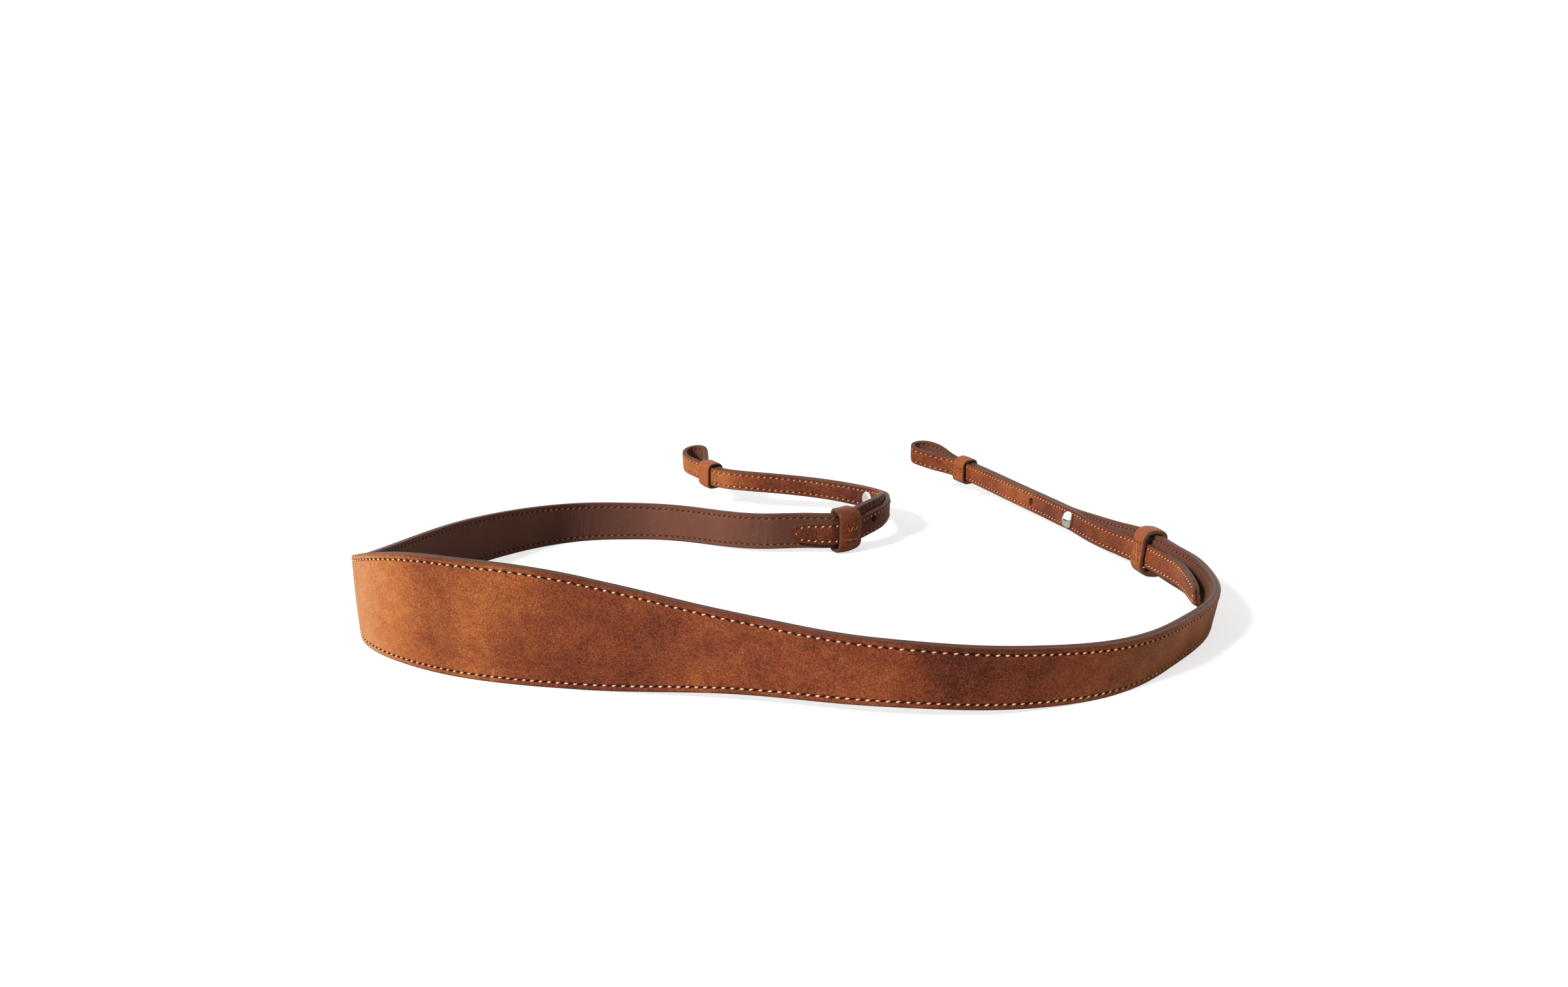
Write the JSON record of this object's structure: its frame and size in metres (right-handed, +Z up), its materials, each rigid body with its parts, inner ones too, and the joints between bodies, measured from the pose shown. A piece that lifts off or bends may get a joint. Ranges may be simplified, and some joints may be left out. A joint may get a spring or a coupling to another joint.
{
  "type": "camera neck strap",
  "caption": "Leather camera neck strap laid on its edge: a sewn two-layer band with a wide shoulder pad, ending in buttoned tongues that loop round lug rings and pass through keepers.",
  "frame": {"origin": "middle of the plan of the laid strap, on the surface that it stands on", "axes": "+Z up; the strap stands on its lower edges. +Y from the front of the shoulder pad towards the two lug loops, +X to the viewer's right"},
  "size_m": [0.3044, 0.3695, 0.039],
  "materials": {
    "grain_leather": "waxed tan grain leather",
    "lining_leather": "smooth dark brown lining leather",
    "keeper_leather": "waxed tan grain leather",
    "polished_stud": "polished nickel plate"
  },
  "bodies": {
    "root": {"outer_strap": "grain_leather", "lining": "lining_leather", "large_keeper_left": "keeper_leather", "large_keeper_right": "keeper_leather", "small_keeper_left": "keeper_leather", "small_keeper_right": "keeper_leather", "stud_button_left": "polished_stud", "stud_button_right": "polished_stud", "stud_screw_left": "polished_stud", "stud_screw_right": "polished_stud"}
  },
  "joints": []
}
